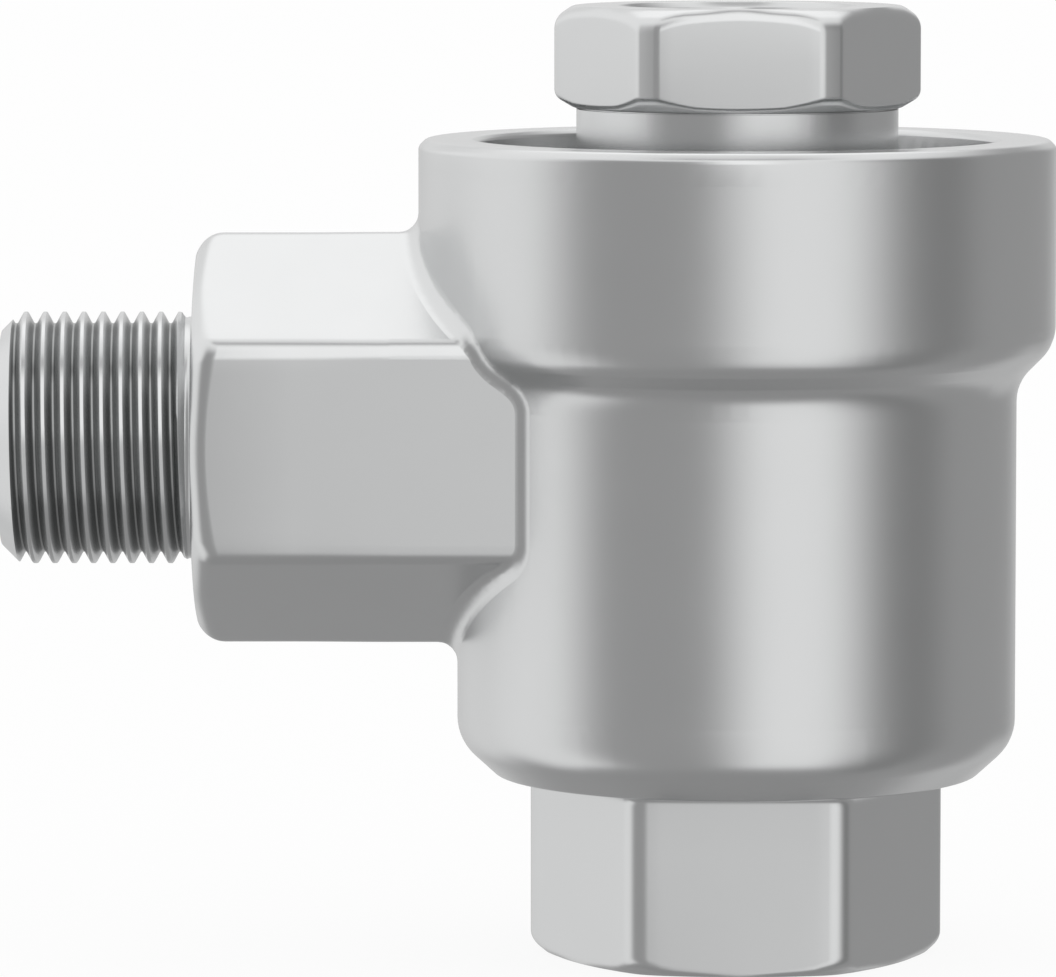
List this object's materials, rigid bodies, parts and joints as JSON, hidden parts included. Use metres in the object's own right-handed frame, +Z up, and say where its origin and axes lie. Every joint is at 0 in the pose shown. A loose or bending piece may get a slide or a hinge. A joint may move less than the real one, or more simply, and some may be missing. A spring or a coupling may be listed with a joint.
{
  "type": "quick exhaust valve",
  "caption": "Right-angle quick exhaust valve: hexagon supply port on top, threaded cylinder stub at the side, hexagon exhaust port below, sliding lip-seal shuttle inside.",
  "frame": {"origin": "on the valve axis, in the end face of the exhaust hexagon, where the exhaust port's mouth is", "axes": "+Z up the valve axis, out of the supply port; -X along the axis of the threaded cylinder stub; Y across the flats of the hexagons"},
  "size_m": [0.0697, 0.0422, 0.0629],
  "materials": {
    "cast_steel": "bead-blasted satin stainless casting",
    "turned_steel": "machined stainless steel",
    "seal_rubber": "black nitrile rubber",
    "guide_plastic": "natural acetal"
  },
  "bodies": {
    "housing": {"valve_body": "cast_steel", "supply_fitting": "cast_steel", "fitting_ring_seal": "seal_rubber", "exhaust_nozzle": "turned_steel"},
    "shuttle": {"lip_seal": "seal_rubber", "support_disc": "turned_steel", "exhaust_seal_disc": "seal_rubber", "clamp_washer": "turned_steel", "shuttle_screw": "turned_steel", "shuttle_guide": "guide_plastic"}
  },
  "joints": [
    {"name": "shuttle_slide", "type": "slide", "parent": "housing", "child": "shuttle", "axis": [0, 0, 1], "range_m": [0, 0.0031]}
  ]
}
